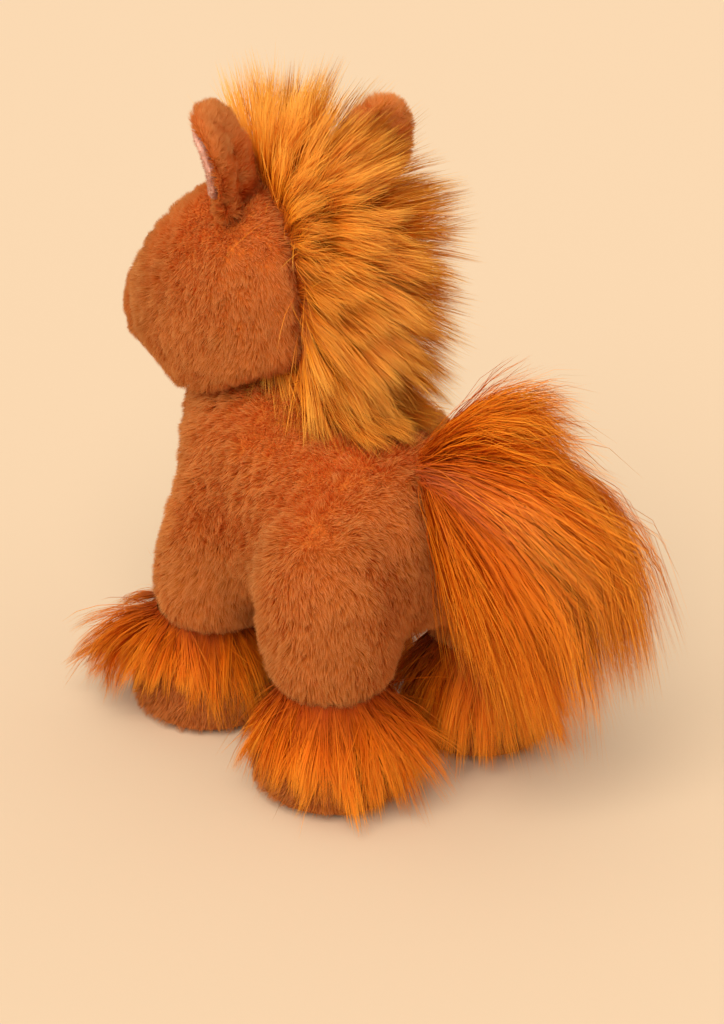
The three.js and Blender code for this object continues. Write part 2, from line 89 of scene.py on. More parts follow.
key = bpy.data.lights.new("key", "SUN")
key.energy, key.angle, key.color = KEY_STRENGTH, KEY_SOFT, KEY_COLOUR
placed("key", key).rotation_euler = KEY_FROM.to_track_quat("Z", "Y").to_euler()

room = bpy.data.worlds.new("room")
bpy.context.scene.world = room
room.use_nodes = True
nodes, links = room.node_tree.nodes, room.node_tree.links
fill_light, seen_light = nodes["Background"], nodes.new("ShaderNodeBackground")
fill_light.inputs["Color"].default_value = FILL_COLOUR
fill_light.inputs["Strength"].default_value = FILL_STRENGTH
seen_light.inputs["Color"].default_value = ROOM_COLOUR
seen, choose = nodes.new("ShaderNodeLightPath"), nodes.new("ShaderNodeMixShader")
links.new(seen.outputs["Is Camera Ray"], choose.inputs["Fac"])
links.new(fill_light.outputs[0], choose.inputs[1])
links.new(seen_light.outputs[0], choose.inputs[2])
links.new(choose.outputs[0], nodes["World Output"].inputs["Surface"])
bpy.context.scene.view_settings.view_transform = "Standard"

# Floor. A seamless pale paper sheet that runs out of the picture on every side.
FLOOR_HALF = 7
FLOOR_COLOUR = (0.665, 0.492, 0.325, 1)


def new_finish(name, rough, gloss=0.5):
    """A material with its roughness and gloss; its shader, nodes and links come with it."""
    finish = bpy.data.materials.new(name)
    finish.use_nodes = True
    nodes, links = finish.node_tree.nodes, finish.node_tree.links
    shader = nodes["Principled BSDF"]
    shader.inputs["Roughness"].default_value = rough
    shader.inputs["Specular IOR Level"].default_value = gloss
    return finish, shader, nodes, links


def made(name, shape, finish):
    """The object that a bmesh makes, in its finish."""
    mesh = bpy.data.meshes.new(name)
    shape.to_mesh(mesh)
    shape.free()
    mesh.materials.append(finish)
    return placed(name, mesh)


paper, paper_shader, _, _ = new_finish("paper", 0.9, 0.1)
paper_shader.inputs["Base Color"].default_value = FLOOR_COLOUR
sheet = bmesh.new()
bmesh.ops.create_grid(sheet, x_segments=8, y_segments=8, size=FLOOR_HALF)
made("floor", sheet, paper)

# Body. A plush bag sewn from two flanks and a belly, stuffed tight with fibre, with the neck part of it.
# Its cloth is a knitted ground with a thick short pile that lies down and back in small tufts.
BODY_GROUND_IN, UNDER_COAT = 0.0024, 0.0015
BODY_PILE, BODY_FIBRES, COAT_ENDS = 0.0052, 400000, 0.046
COAT_VOXEL, CREASE_ROUNDS, CREASE_SLACK, CREASE_PULL = 0.0034, 520, 0.000004, 0.6
LEG_TOP, SIDES = 0.092, {"left": 1, "right": -1}
# The first of the plush colours, for the roots, is painted shade deep in the pile.
PLUSH_ROOT_SHADE, PLUSH_MID, PLUSH_LIGHT = (0.70, 0.20, 0.026), (0.90, 0.315, 0.055), (0.97, 0.48, 0.16)
DOME = Vector((0, -0.04865, 0.136))
UP_NECK = Vector((0, -math.sin(math.radians(27)), math.cos(math.radians(27))))


def sewn_form(name, parts, voxel, inward, rounds, cup=False):
    """The stuffed form of some CAD solids: joined, evened out in a mesh of that voxel and so many rounds, and drawn
    in to the ground of the cloth. A cup of cloth is stuffed out to its brim."""
    joint = bmesh.new()
    for part in parts:
        joint.from_mesh(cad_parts[part].data)
    bmesh.ops.remove_doubles(joint, verts=joint.verts, dist=1e-6)
    if cup:
        outside = set(bmesh.ops.convex_hull(joint, input=joint.verts)["geom"])
        bmesh.ops.delete(joint, geom=[f for f in joint.faces if f not in outside], context="FACES")
        bmesh.ops.recalc_face_normals(joint, faces=joint.faces)
    mesh = bpy.data.meshes.new(name)
    joint.to_mesh(mesh)
    joint.free()
    rough = placed(name + "_rough", mesh)
    remesh = rough.modifiers.new("even", "REMESH")
    remesh.mode, remesh.voxel_size = "VOXEL", voxel
    smooth = rough.modifiers.new("soften", "SMOOTH")
    smooth.factor, smooth.iterations = 0.5, rounds
    done = bpy.data.meshes.new_from_object(rough.evaluated_get(bpy.context.evaluated_depsgraph_get()))
    bpy.data.objects.remove(rough)
    skin = bmesh.new()
    skin.from_mesh(done)
    outer = largest_part(skin)
    bmesh.ops.delete(skin, geom=[v for v in skin.verts if v not in outer], context="VERTS")
    skin.normal_update()
    moves = [(v, v.co - v.normal * inward) for v in skin.verts]
    for v, place in moves:
        v.co = place
    for face in skin.faces:
        face.smooth = True
    skin.to_mesh(done)
    skin.free()
    done.name = name
    return placed(name, done)


def largest_part(shape):
    """The vertices of the biggest connected part, which is the outside of a remeshed hollow form."""
    left, best = set(shape.verts), set()
    while left:
        found, edge = set(), [left.pop()]
        while edge:
            v = edge.pop()
            found.add(v)
            for e in v.link_edges:
                w = e.other_vert(v)
                if w in left:
                    left.discard(w)
                    edge.append(w)
        if len(found) > len(best):
            best = found
    return best


def listed(rows, kind, wide, number=float):
    """One property of a mesh's vertices, edges or triangles, as a table."""
    values = np.empty(len(rows) * wide, number)
    rows.foreach_get(kind, values)
    return values.reshape(-1, wide)


def corners_of(piece):
    return listed(piece.data.vertices, "co", 3)


def surface_of(piece):
    """The faces of a piece, to find the place on it that is nearest to a spot."""
    return BVHTree.FromPolygons([v.co for v in piece.data.vertices], [p.vertices for p in piece.data.polygons])


def unit(v):
    return v / np.maximum(np.linalg.norm(v, axis=-1, keepdims=True), 1e-12)


def rooted(piece, count, rng):
    """Points spread evenly over a cloth, and the way that it faces at each."""
    mesh = piece.data
    mesh.calc_loop_triangles()
    tris = listed(mesh.loop_triangles, "vertices", 3, np.int32)
    co, normals = corners_of(piece), listed(mesh.vertex_normals, "vector", 3)
    a, b, c = co[tris[:, 0]], co[tris[:, 1]], co[tris[:, 2]]
    area = np.linalg.norm(np.cross(b - a, c - a), axis=1)
    pick = rng.choice(len(tris), count, p=area / area.sum())
    r = np.sqrt(rng.random(count))[:, None]
    s = rng.random(count)[:, None]
    shares = (1 - r, r * (1 - s), r * s)
    points = sum(co[tris[pick, i]] * shares[i] for i in range(3))
    facing = unit(sum(normals[tris[pick, i]] * shares[i] for i in range(3)))
    return points, facing


def drift(points, length, seed):
    """A direction that wanders smoothly over the cloth, with swirls about that long."""
    rng = np.random.default_rng(seed)
    out = np.zeros_like(points)
    for _ in range(7):
        wave = rng.normal(size=(3, 3)) * (2 * math.pi / length / 1.7)
        out += np.sin(points @ wave + rng.random(3) * 2 * math.pi)
    return out / 2.6


def nearest(points, seeds):
    """For each point, the number of the nearest seed."""
    tree = KDTree(len(seeds))
    for i, s in enumerate(seeds):
        tree.insert(s, i)
    tree.balance()
    return np.array([tree.find(p)[1] for p in points])


def spun(name, paths, facing, thick, shade, finish, body):
    """One piece of many fibres, each a slim blade drawn to a point, with a map from root to tip. A fibre is far
    finer than a face can be, so its shade follows the cloth that it stands on."""
    count, steps = paths.shape[:2]
    rings = steps - 1
    along = np.empty_like(paths)
    along[:, 1:-1] = paths[:, 2:] - paths[:, :-2]
    along[:, 0] = paths[:, 1] - paths[:, 0]
    along[:, -1] = paths[:, -1] - paths[:, -2]
    along = unit(along)
    rng = np.random.default_rng(count)
    aside = unit(np.cross(along, rng.normal(size=(count, 1, 3))))
    flat = np.cross(aside, along)
    turned = np.where((flat[:, :1] * facing[:, None, :]).sum(2, keepdims=True) < 0, -1, 1)
    aside, flat = aside * turned, flat * turned
    slim = (1 - np.arange(rings) / steps) ** 0.7
    wide = (thick[:, None] / 2 * slim[None, :])[:, :, None] * aside[:, :rings]
    pair = np.stack([paths[:, :rings] - wide, paths[:, :rings] + wide], 2)
    co = np.concatenate([pair.reshape(count, rings * 2, 3), paths[:, -1:]], 1)
    per = rings * 2 + 1
    faces = [(2 * k, 2 * k + 1, 2 * k + 3, 2 * k + 2) for k in range(rings - 1)] + [(per - 3, per - 2, per - 1)]
    corner_vertex = np.array([v for f in faces for v in f])
    corner_height = np.minimum(corner_vertex // 2, rings) / rings
    corner_side = np.where(corner_vertex == per - 1, 0.5, corner_vertex % 2)
    sizes = np.array([len(f) for f in faces])
    mesh = bpy.data.meshes.new(name)
    mesh.vertices.add(count * per)
    mesh.vertices.foreach_set("co", co.astype(np.float32).ravel())
    mesh.loops.add(count * len(corner_vertex))
    first = np.arange(count)[:, None] * per
    mesh.loops.foreach_set("vertex_index", (corner_vertex[None, :] + first).astype(np.int32).ravel())
    mesh.polygons.add(count * len(faces))
    starts = np.concatenate([[0], np.cumsum(sizes)[:-1]])
    first = np.arange(count)[:, None] * len(corner_vertex)
    mesh.polygons.foreach_set("loop_start", (starts[None, :] + first).astype(np.int32).ravel())
    mesh.polygons.foreach_set("use_smooth", np.ones(count * len(faces), bool))
    strip = np.floor(np.clip(shade, 0, 0.999) * 64)[:, None] / 64
    uv = np.empty((count, len(corner_vertex), 2), np.float32)
    uv[:, :, 0] = strip + (0.1 + 0.8 * corner_side[None, :]) / 64
    uv[:, :, 1] = 0.01 + 0.98 * corner_height[None, :]
    mesh.uv_layers.new(name="OFBake").uv.foreach_set("vector", uv.ravel())
    mesh.update(calc_edges=True)
    turned_to = unit(facing[:, None, :] * 0.75 + flat * 0.25)
    shown = np.concatenate([np.repeat(turned_to[:, :rings], 2, axis=1), turned_to[:, -1:]], 1)
    mesh.attributes.new("custom_normal", "FLOAT_VECTOR", "POINT").data.foreach_set(
        "vector", shown.astype(np.float32).ravel())
    mesh.materials.append(finish)
    piece = placed(name, mesh)
    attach(piece, body)
    return piece


def fibre_group():
    """Colour of a fibre from its root to its tip, with the lighter and darker fibres of one dye lot. Its darker root
    colour is painted shade deep in the pile.
    """
    group = bpy.data.node_groups.new("Fibre colour and root shade", "ShaderNodeTree")
    for label in ("Root", "Middle", "Tip", "Dark Fibres"):
        group.interface.new_socket(label, in_out="INPUT", socket_type="NodeSocketColor")
    group.interface.new_socket("Colour", in_out="OUTPUT", socket_type="NodeSocketColor")
    nodes, links = group.nodes, group.links
    given, out = nodes.new("NodeGroupInput"), nodes.new("NodeGroupOutput")
    place, split = nodes.new("ShaderNodeUVMap"), nodes.new("ShaderNodeSeparateXYZ")
    place.uv_map = "OFBake"
    links.new(place.outputs["UV"], split.inputs[0])
    # The root colour is painted shade deep in the pile; along the fibre it gives way to the fibre's middle colour.
    colour = given.outputs["Root"]
    for label, along, blend, spread in (
        ("Middle", "Y", "MIX", (0, 0.55, 0, 1)),
        ("Tip", "Y", "MIX", (0.45, 1, 0, 1)),
        ("Dark Fibres", "X", "MULTIPLY", (0, 1, 0.75, 0)),
    ):
        share, mix = nodes.new("ShaderNodeMapRange"), nodes.new("ShaderNodeMix")
        for socket, value in zip(("From Min", "From Max", "To Min", "To Max"), spread):
            share.inputs[socket].default_value = value
        mix.data_type, mix.blend_type = "RGBA", blend
        links.new(split.outputs[along], share.inputs["Value"])
        links.new(share.outputs["Result"], mix.inputs["Factor"])
        links.new(colour, mix.inputs[6])
        links.new(given.outputs[label], mix.inputs[7])
        colour = mix.outputs[2]
    links.new(colour, out.inputs["Colour"])
    return group


fibre_colour_and_root_shade = fibre_group()


def fibre_finish(name, root, middle, tip, dark, rough, gloss, lets_through=0.5):
    """Fibre of one dye, matt or silky, that lets some light through, with painted shade at its root."""
    finish, shader, nodes, links = new_finish(name, rough, gloss)
    fibre = nodes.new("ShaderNodeGroup")
    fibre.node_tree = fibre_colour_and_root_shade
    for label, colour in (("Root", root), ("Middle", middle), ("Tip", tip), ("Dark Fibres", dark)):
        fibre.inputs[label].default_value = (*colour, 1)
    links.new(fibre.outputs["Colour"], shader.inputs["Base Color"])
    through, both = nodes.new("ShaderNodeBsdfTranslucent"), nodes.new("ShaderNodeMixShader")
    both.inputs["Fac"].default_value = lets_through
    links.new(fibre.outputs["Colour"], through.inputs["Color"])
    links.new(shader.outputs[0], both.inputs[1])
    links.new(through.outputs[0], both.inputs[2])
    links.new(both.outputs[0], nodes["Material Output"].inputs["Surface"])
    return finish


def knit_finish(name, colour, loops):
    """Knitted or twisted ground with so many loops to the metre: cloth seen between its fibres, felt or thread."""
    finish, shader, nodes, links = new_finish(name, 0.95, 0.1)
    place, loop = nodes.new("ShaderNodeTexCoord"), nodes.new("ShaderNodeTexVoronoi")
    tint, raised = nodes.new("ShaderNodeValToRGB"), nodes.new("ShaderNodeBump")
    loop.inputs["Scale"].default_value = loops
    links.new(place.outputs["Object"], loop.inputs["Vector"])
    links.new(loop.outputs["Distance"], tint.inputs["Fac"])
    tint.color_ramp.elements[0].color = (*colour, 1)
    tint.color_ramp.elements[1].color = (*(0.6 * c for c in colour), 1)
    links.new(tint.outputs["Color"], shader.inputs["Base Color"])
    raised.inputs["Strength"].default_value = 0.5
    raised.inputs["Distance"].default_value = 0.0005
    links.new(loop.outputs["Distance"], raised.inputs["Height"])
    links.new(raised.outputs["Normal"], shader.inputs["Normal"])
    return finish


plush_pile = fibre_finish("plush_pile", PLUSH_ROOT_SHADE, PLUSH_MID, PLUSH_LIGHT, (0.88, 0.78, 0.70), 0.8, 0.12)
plush_ground = knit_finish("plush_ground", (0.78, 0.22, 0.030), 900)


def short_pile(name, roots, facing, height, nap, finish, body, seed, thick=0.00036, tuft=26, gather=0.24,
               lift=0):
    """Short pile on a cloth: fibres that lean with the nap and draw together in tufts."""
    rng = np.random.default_rng(seed)
    count, nap = len(roots), unit(np.array(nap, float))
    wander = drift(roots, 0.034, 1) * 0.30 + drift(roots, 0.008, 2) * 0.22
    lean = nap * 0.62 + wander
    lean -= facing * (lean * facing).sum(1, keepdims=True)
    high = height * (0.78 + 0.10 * drift(roots, 0.007, 3)[:, :1] + 0.22 * rng.random((count, 1)))
    tips = roots + high * unit(facing * 0.86 + lean + rng.normal(size=(count, 3)) * 0.12)
    chosen = rng.choice(count, max(2, count // tuft), replace=False)
    tuft_of = nearest(roots, roots[chosen])
    peak = tips[chosen][tuft_of]
    pull = gather * (0.4 + 0.6 * rng.random((count, 1)))
    tips = tips + (peak - tips) * pull
    shade = 0.52 + 0.15 * drift(roots, 0.040, 4)[:, 0] + 0.14 * rng.normal(size=count)
    shade += 0.15 * rng.normal(size=len(chosen))[tuft_of]
    paths = np.stack([roots - facing * 0.0004, tips], 1)
    shown = unit(facing + nap * lift)
    return spun(name, paths, shown, thick * (0.8 + 0.4 * rng.random(count)), shade, finish, body)


def cloth_form(name, parts, body_name, ground, inward, rounds, voxel, cup=False):
    """A sewn piece on its CAD body, in the ground of its cloth and in place of its CAD solids."""
    piece = sewn_form(name, parts, voxel, inward, rounds, cup)
    piece.data.materials.clear()
    piece.data.materials.append(ground)
    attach(piece, body_name)
    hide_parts(*parts)
    return piece


def filled_form(name, parts, body_name, ground, inward, rounds=10, voxel=0.0028, cup=False):
    """A sewn piece that is stuffed."""
    piece = cloth_form(name, parts, body_name, ground, inward, rounds, voxel, cup)
    return piece


def fill_creases(piece, chosen):
    """The cloth drawn tight over the creases where stuffed forms meet: hollows fill out and round places stay."""
    mesh, co = piece.data, corners_of(piece)
    ends = listed(mesh.edges, "vertices", 2, np.int32)
    ends = np.concatenate([ends, ends[:, ::-1]])
    meeting = np.bincount(ends[:, 0], minlength=len(co))[:, None]
    for turn in range(CREASE_ROUNDS):
        if turn % 12 == 0:
            mesh.vertices.foreach_set("co", co.ravel())
            mesh.update()
            out = listed(mesh.vertex_normals, "vector", 3)
        middle = np.stack([np.bincount(ends[:, 0], co[ends[:, 1], k], len(co)) for k in range(3)], 1) / meeting
        rise = ((middle - co) * out).sum(1)
        co += out * (np.maximum(rise - CREASE_SLACK, 0) * CREASE_PULL * chosen(co))[:, None]
    mesh.vertices.foreach_set("co", co.ravel())
    mesh.update()


def tucked(piece, cover, depth):
    """A ground kept at least that deep under the cloth that runs over it."""
    over = surface_of(cover)
    for v in piece.data.vertices:
        spot, facing, _, _ = over.find_nearest(v.co)
        if (v.co - spot).dot(facing) > -depth:
            v.co = spot - facing * depth


def sewn_into(piece, cloth, reach, depth):
    """The end of a stuffed piece let in under the cloth that it is sewn to, so that no gap shows between them."""
    under = surface_of(cloth)
    for v in piece.data.vertices:
        spot, facing, _, away = under.find_nearest(v.co)
        if away < reach or (v.co - spot).dot(facing) < 0:
            v.co = spot - facing * depth


def drawn_tight(co):
    """Where the cloth runs in one: all over the shoulders, and over the haunches above their front fold."""
    hind = np.clip((co[:, 1] + 0.006) / 0.012, 0, 1)
    high = np.clip((co[:, 2] - 0.070) / 0.025, 0, 1)
    outside = np.clip((np.abs(co[:, 0]) - 0.014) / 0.010, 0, 1)
    return (1 - hind * (1 - high)) * np.maximum(outside, high) * np.clip((0.160 - co[:, 2]) / 0.020, 0, 1)


corners = [(end, side) for end in ("front", "hind") for side in SIDES]
body_parts = ["body_cover", "body_stuffing"]
leg_parts = {c: [kind + c[0] + "_" + c[1] for kind in ("leg_cover_", "leg_stuffing_")] for c in corners}
body = filled_form("body", body_parts, "torso", plush_ground, BODY_GROUND_IN + UNDER_COAT)

# The cloth lies over the shoulders and haunches in one smooth run, with the leg seams lost in its pile.
whole = sewn_form("whole", body_parts + sum(leg_parts.values(), []), COAT_VOXEL, BODY_GROUND_IN, 9)
fill_creases(whole, drawn_tight)
tucked(body, whole, UNDER_COAT)
rng = np.random.default_rng(10)
coat_roots, coat_facing = rooted(whole, BODY_FIBRES, rng)
under_head = (coat_roots - np.array(DOME)) @ np.array(UP_NECK) > 0.014
keep = ~under_head & (coat_roots[:, 2] > COAT_ENDS)
coat_roots, coat_facing = coat_roots[keep], coat_facing[keep]
on_leg = {}
for end, side in corners:
    low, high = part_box("leg_cover_" + end + "_" + side)
    inside = (np.abs(coat_roots[:, 1] - (low.y + high.y) / 2) < (high.y - low.y) / 2) & (coat_roots[:, 2] < LEG_TOP)
    on_leg[end, side] = inside & (coat_roots[:, 0] * SIDES[side] > 0.012)
on_body = ~np.any(list(on_leg.values()), axis=0)
for side, way in SIDES.items():
    chosen = on_body & (coat_roots[:, 0] * way > 0)
    short_pile(
        "body_pile_" + side, coat_roots[chosen], coat_facing[chosen], BODY_PILE, (0, 0.55, -0.85), plush_pile,
        "torso", 11)

# Legs. Four short stuffed columns of the same plush, each swelling into the body, with its seam there lost
# in the pile, and gathered in at the ankle where the foot's own cloth begins.
LEG_GROUND_IN, LEG_FILL = 0.0030, 0.8
LET_IN_REACH, LET_IN_DEEP, LEG_UNDER_COAT = 0.007, 0.004, 0.0026

for end, side in corners:
    name = end + "_" + side
    leg = filled_form("leg_" + name, leg_parts[end, side], "torso", plush_ground, LEG_GROUND_IN)
    sewn_into(leg, body, LET_IN_REACH, LET_IN_DEEP)
    tucked(leg, whole, LEG_UNDER_COAT)
    chosen = on_leg[end, side]
    short_pile(
        "leg_pile_" + name, coat_roots[chosen], coat_facing[chosen], BODY_PILE, (0, 0.35, -0.95), plush_pile,
        "torso", 21)

bpy.data.objects.remove(whole)

# Feet. Each is a small shoe of short plush, coloured darker than the body's as painted shade low under the
# body, with a flat round sole of felt stitched under it, and its top is gathered into the ankle seam.
FOOT_FIBRES, FOOT_PILE = 34000, 0.0045
FOOT_GROUND_IN, FOOT_VOXEL, FOOT_FILL = 0.0014, 0.0022, 0.8
# The feet's pile and ground colours are darker than the body's plush as painted shade where the feet stand low under
# the body; the root colour is darker still, painted shade deep in the pile.
SHADED_HOOF_ROOT, SHADED_HOOF_MID, SHADED_HOOF_TIP = (0.48, 0.125, 0.019), (0.78, 0.25, 0.046), (0.92, 0.40, 0.125)
SOLE_RADIUS, SOLE_THICK, SOLE_ROUNDED = 0.022, 0.003, 0.0008

shaded_hoof_pile = fibre_finish("shaded_hoof_pile", SHADED_HOOF_ROOT, SHADED_HOOF_MID, SHADED_HOOF_TIP, (0.75, 0.62, 0.55), 0.85, 0.15)
shaded_hoof_ground = knit_finish("shaded_hoof_ground", (0.42, 0.115, 0.022), 900)
for end, side in corners:
    name = end + "_" + side
    foot = filled_form(
        "foot_" + name, ["foot_cover_" + name], "torso", shaded_hoof_ground, FOOT_GROUND_IN, 6,
        FOOT_VOXEL, cup=True)
    roots, facing = rooted(foot, FOOT_FIBRES, np.random.default_rng(30))
    keep = (roots[:, 2] > 0.0045) & (facing[:, 2] > -0.6)
    roots, facing = roots[keep], facing[keep]
    short_pile(
        "foot_pile_" + name, roots, facing, FOOT_PILE, (0, 0, -1), shaded_hoof_pile, "torso", 31)

    low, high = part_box("sole_" + name)
    middle = (low + high) / 2
    disc = bmesh.new()
    bmesh.ops.create_circle(disc, cap_ends=True, segments=48, radius=SOLE_RADIUS)
    top = bmesh.ops.extrude_face_region(disc, geom=disc.faces[:])["geom"]
    bmesh.ops.translate(disc, verts=[g for g in top if isinstance(g, bmesh.types.BMVert)], vec=(0, 0, SOLE_THICK))
    rims = [e for e in disc.edges if len(e.link_faces) == 2 and e.calc_face_angle(0) > 1]
    bmesh.ops.bevel(disc, geom=rims, offset=SOLE_ROUNDED, segments=2, profile=0.5, affect="EDGES", material=-1)
    bmesh.ops.recalc_face_normals(disc, faces=disc.faces)
    bmesh.ops.translate(disc, verts=disc.verts, vec=(middle.x, middle.y, low.z))
    # The sole's felt takes the feet's darker ground colour, painted shade under the foot.
    sole = made("sole_felt_" + name, disc, shaded_hoof_ground)
    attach(sole, "torso")
    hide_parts("sole_" + name)

# Neck seam. A ring of strong twisted thread, hand sewn where the head's hollow underside meets the neck,
# drawn down into the pile.
SEAM_RADIUS, SEAM_RISE, THREAD_THICK, PLY_TURNS = 0.0384, 0.0020, 0.0011, 96
PLY_OFF = THREAD_THICK * 0.45

seam_thread = knit_finish("seam_thread", (0.50, 0.14, 0.030), 1500)


def strand(shape, spots, thick, closed=False, sides=6):
    """A round thread laid along some spots, in a bmesh; an open one is drawn in at its ends."""
    loops = []
    count = len(spots)
    for i, spot in enumerate(spots):
        after = spots[(i + 1) % count] if closed else spots[min(i + 1, count - 1)]
        before = spots[i - 1] if closed else spots[max(i - 1, 0)]
        ahead = (after - before).normalized()
        side = ahead.orthogonal().normalized() if not loops else (last - ahead * last.dot(ahead)).normalized()
        last, over = side, ahead.cross(side)
        slim = 0.45 if not closed and i in (0, count - 1) else 1
        loops.append([
            shape.verts.new(spot + (side * math.cos(a) + over * math.sin(a)) * thick / 2 * slim)
            for a in (2 * math.pi * k / sides for k in range(sides))])
    for i in range(count if closed else count - 1):
        near, far = loops[i], loops[(i + 1) % count]
        for k in range(sides):
            shape.faces.new((near[k], near[(k + 1) % sides], far[(k + 1) % sides], far[k]))
    if not closed:
        shape.faces.new(loops[0][::-1])
        shape.faces.new(loops[-1])


def sewn_thread(name, shape, finish, body_name, part):
    """The piece that a bmesh of threads makes, in place of one CAD solid."""
    bmesh.ops.recalc_face_normals(shape, faces=shape.faces)
    for face in shape.faces:
        face.smooth = True
    piece = made(name, shape, finish)
    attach(piece, body_name)
    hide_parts(part)


plies = bmesh.new()
for ply in range(2):
    ring = []
    for round_neck in np.arange(PLY_TURNS * 6) * (2 * math.pi / (PLY_TURNS * 6)):
        twist = PLY_TURNS * round_neck + math.pi * ply
        out = SEAM_RADIUS + PLY_OFF * math.cos(twist)
        rise = SEAM_RISE + PLY_OFF * math.sin(twist)
        ring.append(Vector((out * math.cos(round_neck), out * math.sin(round_neck), rise)))
    strand(plies, ring, THREAD_THICK, closed=True, sides=4)
to_neck = Matrix.Translation(DOME) @ UP_NECK.to_track_quat("Z", "Y").to_matrix().to_4x4()
bmesh.ops.transform(plies, matrix=to_neck, verts=plies.verts)
sewn_thread("neck_seam_stitching", plies, seam_thread, "neck_seam", "neck_seam_thread")

# Head. A stuffed plush bag with a drooping nose, hollow below for the neck, and a rounder
# muzzle of the same plush sewn on in front.
HEAD_FIBRES, MUZZLE_FIBRES = 215000, 64000
HEAD_PILE, MUZZLE_PILE, HEAD_NAP = 0.0050, 0.0042, (0, 0.6, -0.5)
HEM_DROP, HEM_FROM, HEM_WIDE = 0.006, 0.032, 0.020
HOLLOW_RADIUS = 0.0425
MANE_SEAM_WIDE, MANE_SEAM_DEEP = 0.004, 0.0042
EYE_BARE, SEAM_BARE, STITCH_BARE, NOSTRIL_BARE = 0.0062, 0.0030, 0.0011, 0.0034
FACE_FROM, MUZZLE_SEEN_TO = -0.070, -0.088
SKULL = Vector((0, -0.05365, 0.184))


def round_crown(points):
    """The turn of each point about the middle of the skull, from straight ahead over the crown."""
    return np.degrees(np.arctan2(points[:, 2] - SKULL.z, SKULL.y - points[:, 1])) % 360


def strip_half(points):
    """Half the width of the strip that the mane's own cloth covers, narrow at the crown and broad at the nape."""
    turns, halves = [76, 80, 95, 120, 140, 190, 215, 235], [0, 6, 11, 16, 20, 20, 16, 10]
    return np.interp(round_crown(points), turns, halves, 0, 0) / 1000


def under_mane(points):
    return (np.abs(points[:, 0]) < strip_half(points)) & (points[:, 2] > 0.140)


def seam_beside_mane(points):
    """How near each point is to the seam along the mane's strip, from 0 to 1 on it."""
    half = strip_half(points)
    near = np.clip(1 - np.abs(np.abs(points[:, 0]) - half) / MANE_SEAM_WIDE, 0, 1)
    return np.where((half > 0.005) & (points[:, 2] > 0.140) & (points[:, 1] > SKULL.y - 0.02), near, 0)


def how_far(points, spots):
    """How far each point is from the nearest of some spots."""
    return np.linalg.norm(points - np.array(spots)[nearest(points, spots)], axis=1)


def from_pair(points, kind):
    """How far each point is from the middle of the nearer one of a pair of CAD pieces."""
    boxes = [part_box(kind + side) for side in SIDES]
    return np.min([np.linalg.norm(points - np.array((low + high) / 2), axis=1) for low, high in boxes], 0)


def trimmed(away, least, over):
    """How much of the pile's height stands that far from a bare place: at its edge the least, past it all."""
    return np.clip(least + away / over, 0, 1)


head = filled_form("head", ["head_cover", "head_stuffing"], "head", plush_ground, BODY_GROUND_IN)
muzzle = filled_form("muzzle", ["muzzle_cover"], "head", plush_ground, -0.0001, 8, 0.0022, cup=True)


def drawn_in_beside(piece, other, wide, deep):
    """A stuffed piece drawn in by the seam that joins it to another."""
    tree = surface_of(other)
    moves = []
    for v in piece.data.vertices:
        spot, _, _, away = tree.find_nearest(v.co)
        if away < wide:
            moves.append((v, v.co - v.normal * deep * (1 - away / wide)))
    for v, place in moves:
        v.co = place
    piece.data.update()


plain_head = head.copy()
plain_head.data = head.data.copy()
drawn_in_beside(head, muzzle, 0.0105, 0.0062)
drawn_in_beside(muzzle, plain_head, 0.0075, 0.0042)
bpy.data.objects.remove(plain_head)
hem = bmesh.new()
hem.from_mesh(head.data)
for v, beside in zip(hem.verts, seam_beside_mane(corners_of(head))):
    rise = (v.co - DOME).dot(UP_NECK)
    share = min(1, max(0, (HEM_FROM - rise) / HEM_WIDE))
    v.co -= v.normal * MANE_SEAM_DEEP * beside + UP_NECK * HEM_DROP * share * share * (3 - 2 * share)
hem.to_mesh(head.data)
hem.free()
roots, facing = rooted(head, HEAD_FIBRES, np.random.default_rng(40))
inside_hollow = np.linalg.norm(roots - np.array(DOME), axis=1) < HOLLOW_RADIUS
inside_hollow &= facing @ np.array(UP_NECK) < -0.3
from_eye, from_seam = from_pair(roots, "eye_"), np.ones(len(roots))
on_face = roots[:, 1] < FACE_FROM
from_seam[on_face] = how_far(roots[on_face], corners_of(muzzle))
keep = ~(under_mane(roots) | (from_eye < EYE_BARE) | (from_seam < SEAM_BARE) | inside_hollow)
roots, facing = roots[keep], facing[keep]
height = HEAD_PILE * trimmed(from_eye[keep] - EYE_BARE, 0.45, 0.008) * trimmed(from_seam[keep], 0.4, 0.014)
short_pile("head_pile", roots, facing, height[:, None], HEAD_NAP, plush_pile, "head", 41)
roots, facing = rooted(muzzle, MUZZLE_FIBRES, np.random.default_rng(42))
stitched = [corners_of(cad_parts[part]) for part in ("nostril_left", "nostril_right", "mouth_stitch")]
from_stitch, from_seam = how_far(roots, np.concatenate(stitched)), how_far(roots, corners_of(head))
keep = (from_stitch > STITCH_BARE) & (from_pair(roots, "nostril_") > NOSTRIL_BARE)
keep &= (roots[:, 1] < MUZZLE_SEEN_TO) & (from_seam > SEAM_BARE)
roots, facing = roots[keep], facing[keep]
height = MUZZLE_PILE * trimmed(from_stitch[keep] - STITCH_BARE, 0.40, 0.007) * trimmed(from_seam[keep], 0.4, 0.014)
short_pile("muzzle_pile", roots, facing, height[:, None], HEAD_NAP, plush_pile, "head", 43)

